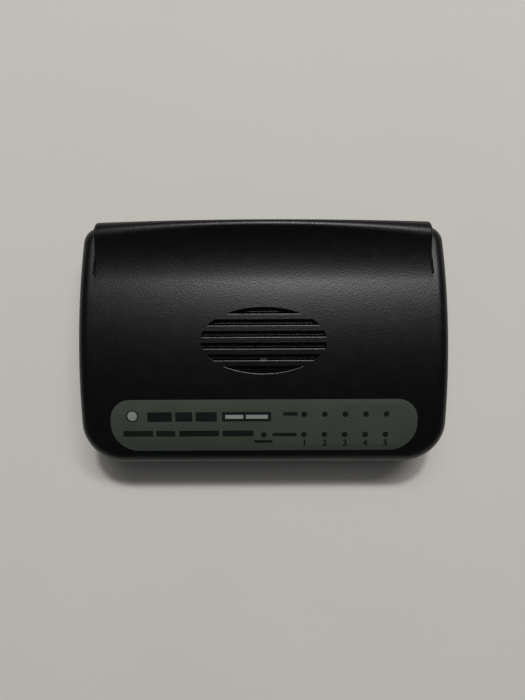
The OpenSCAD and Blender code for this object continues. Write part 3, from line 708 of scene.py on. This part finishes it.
# ---------------------------------------------------------------------------------------------------------
# Top cover. The upper half of the case, moulded in the same black ABS: an arched top with rolled edges, a
# hood that sweeps up over the sockets between two side rails, an oval grille and a recess for the label.

CREST = 26.0
ARCH = 118.0
EDGE_ROLL = 4.0
HOOD_START = 20.5
HOOD_SWEEP = 30.5
HOOD_INSET, HOOD_TAPER = 5.3, 0.3
HOOD_SHOULDER = 0.8
ROLL_MIDDLE, ROLL_END = 1.8, 4.8
ARCH_CUT, HOOD_CUT, CROSS_CUT = 2.0, 0.98, 4.1


def arch_z(y):
    return CREST - ARCH + math.sqrt(ARCH * ARCH - y * y)


def slice_at(bm, point, normal, **keep):
    """Cuts every face along a plane."""
    bmesh.ops.bisect_plane(
        bm, geom=bm.verts[:] + bm.edges[:] + bm.faces[:], dist=1e-4, plane_co=point, plane_no=normal, **keep
    )


# The hood's side is a plane from where the hood starts to the rear wall, and it draws in a little on the way.
def side_x(y):
    taper = HOOD_TAPER * (y - HOOD_START) / (REAR - HOOD_START)
    return bow_x + math.sqrt((SIDE_BOW - HOOD_INSET) ** 2 - y * y) - taper


hood_side = Vector((side_x(REAR), REAR, 0)) - Vector((side_x(HOOD_START), HOOD_START, 0))
hood_side.normalize()
hood_out = Vector((hood_side.y, -hood_side.x, 0))


def inside_hood(x, y):
    """How far a point lies inside the hood's side."""
    return (Vector((side_x(HOOD_START), HOOD_START, 0)) - Vector((abs(x), y, 0))).dot(hood_out)


sweep_start = -math.asin(HOOD_START / ARCH)
sweep_y = HOOD_START - HOOD_SWEEP * math.sin(sweep_start)
sweep_z = arch_z(HOOD_START) + HOOD_SWEEP * math.cos(sweep_start)

wall_top = CREST - EDGE_ROLL


def arched_case(inset, bottom):
    """The cover's form as a solid, smaller by an inset all round: arched top, rolled edge and hood."""
    bm = case_block(inset, bottom, CREST - inset)
    round_over(bm, level_edges(bm, CREST - inset), EDGE_ROLL - inset, 10)
    for step in range(-20, 10):
        slice_at(bm, (0, step * ARCH_CUT, 0), (0, 1, 0))
    for step in range(18):
        slice_at(bm, (0, HOOD_START + step * HOOD_CUT, 0), (0, 1, 0))
    for step in range(-13, 14):
        slice_at(bm, (step * CROSS_CUT, 0, 0), (1, 0, 0))
    for side in (-1, 1):
        for step in range(10):
            deep = inset + HOOD_SHOULDER * (1 - math.cos(math.radians(step * 10)))
            edge = Vector((side_x(HOOD_START), HOOD_START, 0)) - hood_out * deep
            slice_at(bm, (side * edge.x, edge.y, 0), (side * hood_out.x, hood_out.y, 0))
    zone = []
    for face in bm.faces:
        spot = face.calc_center_median()
        if spot.y > HOOD_START and spot.z > wall_top and inside_hood(spot.x, spot.y) > inset:
            zone.append(face)
    raised = bmesh.ops.extrude_face_region(bm, geom=zone)["geom"]
    lifted = {g for g in raised if isinstance(g, bmesh.types.BMVert)}
    bmesh.ops.delete(bm, geom=zone, context="FACES_KEEP_BOUNDARY")
    for vert in bm.verts:
        if vert in lifted:
            lift_hood(vert, inset)
        elif vert.co.z > wall_top - 0.01:
            vert.co.z += arch_z(vert.co.y) - CREST
    bmesh.ops.remove_doubles(bm, verts=bm.verts, dist=0.01)
    bmesh.ops.recalc_face_normals(bm, faces=bm.faces)
    return bm


def lift_hood(vert, inset):
    """Moves a vertex of the hood on the hollow sweep or on the roll that ends it, with rounded shoulders."""
    x, y, z = vert.co
    sweep = HOOD_SWEEP + inset
    across = abs(x) / side_x(y)
    roll = max(ROLL_MIDDLE + (ROLL_END - ROLL_MIDDLE) * across * across - inset, 0.3)
    roll_y = REAR - inset - roll
    roll_z = sweep_z - math.sqrt((sweep + roll) ** 2 - (roll_y - sweep_y) ** 2)
    sweep_end = math.asin((roll_y - sweep_y) / (sweep + roll))
    along = min((y - HOOD_START) / (REAR - EDGE_ROLL - HOOD_START), 1)
    start_y, end_y = sweep_y + sweep * math.sin(sweep_start), sweep_y + sweep * math.sin(sweep_end)
    new_y = start_y + along * (end_y - start_y)
    height = sweep_z - math.sqrt(sweep**2 - (new_y - sweep_y) ** 2) - arch_z(new_y) + inset
    shoulder = max(min(HOOD_SHOULDER, height * 0.9), 0.001)
    deep = max(inside_hood(x, y) - inset, 0) * shoulder / HOOD_SHOULDER
    drop = shoulder - math.sqrt(max(shoulder**2 - max(shoulder - deep, 0) ** 2, 0))
    if y <= REAR - EDGE_ROLL + 0.001:
        turn = math.asin((new_y - sweep_y) / sweep)
        vert.co.y = sweep_y + (sweep + drop) * math.sin(turn)
        vert.co.z = sweep_z - (sweep + drop) * math.cos(turn)
    else:
        share = math.atan2(max(z - wall_top, 0), y - (REAR - EDGE_ROLL)) / (math.pi / 2)
        turn = (math.pi / 2 + sweep_end) * share
        vert.co.y = roll_y + (roll - drop) * math.cos(turn)
        vert.co.z = roll_z + (roll - drop) * math.sin(turn)


# The label's recess follows the arch: a plate with the label's outline is cut across and bent to it.
label_low, label_high = extent("led_label")
LABEL_FRONT_CORNER, LABEL_REAR_CORNER = 9.0, 6.8
SEAT_DEPTH, FILM = 0.4, 0.3


def bend_to_arch(bm, low_y, high_y):
    """Cuts a flat piece across each millimetre and lifts it on the arch."""
    for step in range(math.ceil(low_y), math.ceil(high_y)):
        slice_at(bm, (0, step, 0), (0, 1, 0))
    for vert in bm.verts:
        vert.co.z += arch_z(vert.co.y)


def label_plate(grow, bottom, top):
    """A flat plate with the label's outline, larger by grow all round."""
    left, right = label_low.x - grow, label_high.x + grow
    front, rear = label_low.y - grow, label_high.y + grow
    near, far = LABEL_FRONT_CORNER + grow, LABEL_REAR_CORNER + grow
    quarter = math.pi / 2
    bm = bmesh.new()
    corner = bmesh.ops.create_vert(bm, co=(left + near, front, bottom))["vert"][0]
    corner = line_to(bm, corner, right - near, front)
    corner = arc_about(bm, corner, Vector((right - near, front + near, 0)), quarter, 14)
    corner = line_to(bm, corner, right, rear - far)
    corner = arc_about(bm, corner, Vector((right - far, rear - far, 0)), quarter, 14)
    corner = line_to(bm, corner, left + far, rear)
    corner = arc_about(bm, corner, Vector((left + far, rear - far, 0)), quarter, 14)
    corner = line_to(bm, corner, left, front + near)
    arc_about(bm, corner, Vector((left + near, front + near, 0)), quarter, 14)
    bmesh.ops.remove_doubles(bm, verts=bm.verts, dist=0.001)
    raise_faces(bm, bmesh.ops.contextual_create(bm, geom=bm.edges[:])["faces"], top - bottom)
    return bm


BOSS = 2.8
bosses = bmesh.new()
for x, y in screw_places:
    add_drum(bosses, x, y, BOSS, parting - 2, CREST + 1)
hollow = combine(arched_case(WALL, parting - 1), bosses, "DIFFERENCE")
cover = combine(arched_case(0, parting), hollow, "DIFFERENCE")
cover = combine(cover, case_block(1, parting - 1, parting + 1.6), "DIFFERENCE")

# A fine groove runs along the foot of each of the hood's sides and bites a little into the hood.
GROOVE_BITE = 0.08
GROOVE_START, GROOVE_WIDTH, GROOVE_DEPTH = 23.0, 0.45, 1.5
grooves = bmesh.new()
for side in (-1, 1):
    near, far = sorted((-side * GROOVE_BITE, side * GROOVE_WIDTH))
    for vert in add_block(grooves, (near, GROOVE_START, -GROOVE_DEPTH), (far, REAR + 2, 12)):
        vert.co.x += side * side_x(vert.co.y)
bend_to_arch(grooves, GROOVE_START, REAR + 2)
cover = combine(cover, grooves, "DIFFERENCE")

seat = label_plate(0.15, -SEAT_DEPTH, 2)
bend_to_arch(seat, label_low.y - 1, label_high.y + 1)
cover = combine(cover, seat, "DIFFERENCE")

VENT_Y = 1.0
VENT_WIDTH, VENT_DEPTH = 41.5, 22.0
SLAT_REAR, SLAT_PITCH, SLAT_WIDTH = 9.75, 3.85, 1.8
FLARE_DEPTH, FLARE_REACH, FLARE_TOP = 0.075, 0.2, 0.5
BAFFLE_NEAR, BAFFLE_FAR, BAFFLE_DROP, BAFFLE_HEIGHT = 0.6, 0.9, 1.65, 2.4
SHADE_SHELF_NEAR, SHADE_SHELF_FAR, SHADE_SHELF = -0.2, 2.4, 0.6


def oval_slice(front, rear, bottom, height):
    """A block with the grille's oval outline, cut off in front and behind."""
    bm = bmesh.new()
    place = Matrix.Translation((0, VENT_Y, bottom)) @ Matrix.Diagonal((VENT_WIDTH / 2, VENT_DEPTH / 2, 1, 1))
    bmesh.ops.create_circle(bm, cap_ends=True, segments=96, radius=1, matrix=place)
    slice_at(bm, (0, front, 0), (0, 1, 0), clear_inner=True)
    slice_at(bm, (0, rear, 0), (0, 1, 0), clear_outer=True)
    raise_faces(bm, bm.faces[:], height)
    return bm


def flare(front, rear):
    """A tool that leans forward over a gap, which slopes every edge of it that looks to the rear."""
    bm = oval_slice(front, rear, -FLARE_DEPTH, FLARE_DEPTH + FLARE_TOP)
    for vert in bm.verts:
        risen = vert.co.z + FLARE_DEPTH
        vert.co.z += arch_z(vert.co.y)
        vert.co.y -= risen * FLARE_REACH / FLARE_DEPTH
    return bm


openings = bmesh.new()
flares = bmesh.new()
for gap in range(6):
    front = SLAT_REAR - gap * SLAT_PITCH if gap < 5 else -VENT_DEPTH
    rear = SLAT_REAR - (gap - 1) * SLAT_PITCH - SLAT_WIDTH if gap else VENT_DEPTH
    pour(openings, oval_slice(front, rear, CREST - 6, 8))
    pour(flares, flare(front, rear))
cover = combine(cover, flares, "DIFFERENCE")
for n in range(1, 6):
    low, high = extent(f"port_{n}_housing")
    add_block(openings, (low.x - 0.15, REAR - 4, parting - 2), (high.x + 0.15, REAR + 2, high.z + 0.2))
add_block(
    openings, (jack_low.x - 0.15, REAR - 4, parting - 2), (jack_high.x + 0.15, REAR + 2, jack_high.z + 0.15)
)
cover = combine(cover, openings, "DIFFERENCE")

# A thin baffle with a shelf at its foot runs below each gap. The baffles' depth and the shelves are dark
# sheets
# that stand in for shade: they block the light, so that the inside reads black. A small catch with a sloped
# top sits behind the last slat.
baffles = bmesh.new()
for slat in range(6):
    foot_y = SLAT_REAR - slat * SLAT_PITCH
    baffle_top = arch_z(foot_y) - BAFFLE_DROP
    baffle = oval_slice(foot_y + BAFFLE_NEAR, foot_y + BAFFLE_FAR, baffle_top - BAFFLE_HEIGHT, BAFFLE_HEIGHT)
    round_over(baffle, level_edges(baffle, baffle_top), 0.12, 2)
    pour(baffles, baffle)
    shade_shelf_bottom = baffle_top - BAFFLE_HEIGHT - SHADE_SHELF / 2
    pour(baffles, oval_slice(foot_y + SHADE_SHELF_NEAR, foot_y + SHADE_SHELF_FAR, shade_shelf_bottom, SHADE_SHELF))
CATCH_HALF, CATCH_REACH, CATCH_SLOPE = 1.2, 0.85, 0.15
catch_y = SLAT_REAR - 4 * SLAT_PITCH
catch = bmesh.new()
catch_low = (-CATCH_HALF, catch_y - 0.5, CREST - 1.8)
for vert in add_block(catch, catch_low, (CATCH_HALF, catch_y + CATCH_REACH, CREST - 0.5)):
    if vert.co.y > catch_y and vert.co.z > CREST - 1:
        vert.co.z -= CATCH_SLOPE
round_over(catch, catch.edges[:], 0.12, 2)
pour(baffles, catch)
pour(cover, baffles)

LIGHT_HOLE = 1.2
speed_low, speed_high = extent("speed_leds")
LAMP_HALF = 1.6
light_columns = [
    speed_low.x + LAMP_HALF + i * (speed_high.x - speed_low.x - 2 * LAMP_HALF) / 4 for i in range(5)
]
speed_y, link_y = middle("speed_leds").y, middle("link_leds").y
light_places = [(x, y) for y in (speed_y, link_y) for x in light_columns] + [(middle("power_led").x, link_y)]
light_holes = bmesh.new()
for x, y in light_places:
    add_drum(light_holes, x, y, LIGHT_HOLE, 15, CREST + 1, 32)
cover = combine(cover, light_holes, "DIFFERENCE")


def cut_edge(edge):
    """Whether a sharp edge lies on the arch's own surface, where a tool cut it, or round a rear opening."""
    if edge.calc_face_angle(0) < 0.8:
        return False
    on_arch = all(abs(v.co.z - arch_z(v.co.y)) < 0.03 and v.co.y < HOOD_START - 2 for v in edge.verts)
    return on_arch or all(v.co.y > REAR - 0.02 and v.co.z < jack_high.z + 1 for v in edge.verts)


bmesh.ops.bevel(
    cover, geom=[e for e in cover.edges if cut_edge(e)], offset=0.12, segments=2, profile=0.5, affect="EDGES",
    material=-1, clamp_overlap=True,
)
moulding = show(
    cover, "top_cover_moulding", black_abs, replaces=["top_cover"], sharp=14
)

# The broad faces keep their own gloss right up to the small rounded edges.
even = moulding.modifiers.new("even gloss", "WEIGHTED_NORMAL")
even.keep_sharp, even.weight = True, 100

# ---------------------------------------------------------------------------------------------------------
# Case screws. Four zinc-plated pan-head screws that come up through the base's posts into the cover's bosses.

case_screws = pan_screws(screw_places, HEAD_SEAT, -1, HEAD_RADIUS, HEAD_HEIGHT, 1.2, screws_high.z)
show(case_screws, "case_screw_set", zinc, replaces=["case_screws"])

# ---------------------------------------------------------------------------------------------------------
# Front label. A grey-green polycarbonate film 0.3 mm thick, stamped with eleven round windows and pressed in
# the cover's recess, so that it lies a tenth of a millimetre below the arch.

WINDOW = 0.95
film = label_plate(0, -SEAT_DEPTH, FILM - SEAT_DEPTH)
round_over(film, level_edges(film, FILM - SEAT_DEPTH), 0.09, 2)
windows = bmesh.new()
for x, y in light_places:
    add_drum(windows, x, y, WINDOW, -2, 2, 32)
film = combine(film, windows, "DIFFERENCE")
bend_to_arch(film, label_low.y, label_high.y)
label_film = finish(
    "grey-green polycarbonate film", "#3d433b", "#41473f", 0.45, spread=0.02, grain_mm=0.3, depth_mm=0.004,
    patch_mm=12.0, Specular_IOR_Level=0.03,
)
show(film, "front_label_film", label_film, replaces=["led_label"])

# ---------------------------------------------------------------------------------------------------------
# Printing. Silk-screened ink on the film: the numbers under the light columns, and plain bars, a plate and a
# round spot where a maker's printing would be.

INK = 0.02
FILM_TOP = FILM - SEAT_DEPTH


def ink_bars(bars, lift=0.0):
    """Bars of ink from (left, right, front, rear), lying on the film."""
    bm = bmesh.new()
    for left, right, front, rear in bars:
        add_block(bm, (left, front, FILM_TOP - 0.01), (right, rear, FILM_TOP + INK + lift))
    return bm


def ink_disc(bm, x, y, radius, top):
    add_drum(bm, x, y, radius, FILM_TOP - 0.01, top, 48)


HEADING = (-26.05, -22.8)
WORDING = (-31.2, -29.2)
HEADING_BARS = ((-38.9, -30.7), (-29.6, -23.9), (-22.8, -15.7), (-14.0, 2.4))
WORDING_BARS = ((-47.2, -37.3), (-36.2, -29.8), (-28.5, -15.1), (-13.9, -3.5))
black_marks = ink_bars(
    [(left, right, *HEADING) for left, right in HEADING_BARS]
    + [(left, right, *WORDING) for left, right in WORDING_BARS]
    + [(6.4, 11.3, speed_y - 0.4, speed_y + 0.8), (2.9, 11.0, link_y - 0.5, link_y + 0.7)]
    + [(-3.2, 2.8, link_y - 2.8, link_y - 1.8)]
)
SPOT_X, SPOT_Y, SPOT, SPOT_RING = -43.9, -24.1, 1.6, 2.0
ink_disc(black_marks, SPOT_X, SPOT_Y, SPOT_RING, FILM_TOP + INK)
DIGIT_HEIGHT, DIGIT_SHIFT, DIGIT_DROP, DIGIT_STROKE = 2.1, 0.2, 3.9, 0.1
for n, x in enumerate(light_columns, 1):
    text = bpy.data.curves.new(f"digit_{n}", "FONT")
    text.body, text.align_x, text.extrude = str(n), "CENTER", INK / 2
    text.size, text.offset = DIGIT_HEIGHT / 0.7, DIGIT_STROKE
    letters = bpy.data.objects.new("digit", text)
    bpy.context.scene.collection.objects.link(letters)
    outline = bpy.data.meshes.new_from_object(letters.evaluated_get(bpy.context.evaluated_depsgraph_get()))
    bpy.data.objects.remove(letters)
    outline.transform(Matrix.Translation((x + DIGIT_SHIFT, link_y - DIGIT_DROP, FILM_TOP + INK / 2)))
    black_marks.from_mesh(outline)
    bpy.data.meshes.remove(outline)
bend_to_arch(black_marks, label_low.y, label_high.y)
black_ink = finish("black screen ink", "#060707", "#0a0b0b", 0.45, grain_mm=0.2, depth_mm=0.004)
show(black_marks, "label_printing_black", black_ink)

PLATE_LINES = ((-12.9, -6.9), (-6.0, 1.3))
PLATE_FRONT, PLATE_REAR = -25.1, -23.8
pale_marks = ink_bars([(left, right, PLATE_FRONT, PLATE_REAR) for left, right in PLATE_LINES], INK)
ink_disc(pale_marks, SPOT_X, SPOT_Y, SPOT, FILM_TOP + 2 * INK)
bend_to_arch(pale_marks, label_low.y, label_high.y)
pale_ink = finish("pale grey screen ink", "#7d807d", "#8b8e8a", 0.5, grain_mm=0.2, depth_mm=0.004)
show(pale_marks, "label_printing_pale", pale_ink)

# ---------------------------------------------------------------------------------------------------------
# The view. A pale painted floor, four oval lamps that hang behind the switch, a faint fill from all round,
# and a camera straight above.

floor = bmesh.new()
bmesh.ops.create_grid(floor, x_segments=1, y_segments=1, size=4000)
floor_paint = finish("pale studio floor", "#c9c6bf", "#cbc8c1", 0.9, grain_mm=2.0, patch_mm=60.0)
ground = as_object(floor, "studio_floor")
ground.data.materials.append(floor_paint)

world = bpy.data.worlds.new("soft fill")
world.use_nodes = True
world.node_tree.nodes["Background"].inputs["Color"].default_value = hex_colour("#f4f6ff")
world.node_tree.nodes["Background"].inputs["Strength"].default_value = 0.07
bpy.context.scene.world = world


def hang_lamp(name, wide, deep, energy, away, tilt, turn):
    """An oval lamp that looks down from behind, tilted from straight above and turned to the right."""
    lamp = bpy.data.lights.new(name, "AREA")
    lamp.shape, lamp.size, lamp.size_y, lamp.energy = "ELLIPSE", wide, deep, energy
    tilt, turn = math.radians(tilt), math.radians(turn)
    way = Vector((math.sin(tilt) * math.sin(turn), math.sin(tilt) * math.cos(turn), math.cos(tilt)))
    holder = bpy.data.objects.new(name, lamp)
    holder.location = way * away
    holder.rotation_euler = way.to_track_quat("Z", "Y").to_euler()
    bpy.context.scene.collection.objects.link(holder)


hang_lamp("key_lamp", 0.3, 0.2, 24, 2.5, 36.3, 3)
hang_lamp("side_lamp", 1.2, 0.3, 13, 2.5, 38.6, 24)
hang_lamp("strip_lamp", 2.6, 0.3, 17, 2.5, 36.6, 9)
hang_lamp("soft_lamp", 2.0, 2.0, 8, 2.4, 30, 5)

EYE_X, EYE_Y, EYE_HEIGHT, EYE_ROLL = -0.00038, -0.0022, 0.1984, -0.25
camera = bpy.data.objects.new("camera", bpy.data.cameras.new("camera"))
camera.data.lens, camera.data.sensor_width = 27.0, 36.0
camera.data.clip_start = 0.01
camera.location = (EYE_X, EYE_Y, EYE_HEIGHT)
camera.rotation_euler = (0, 0, math.radians(EYE_ROLL))
bpy.context.scene.collection.objects.link(camera)
bpy.context.scene.camera = camera
bpy.context.scene.view_settings.view_transform = "Standard"
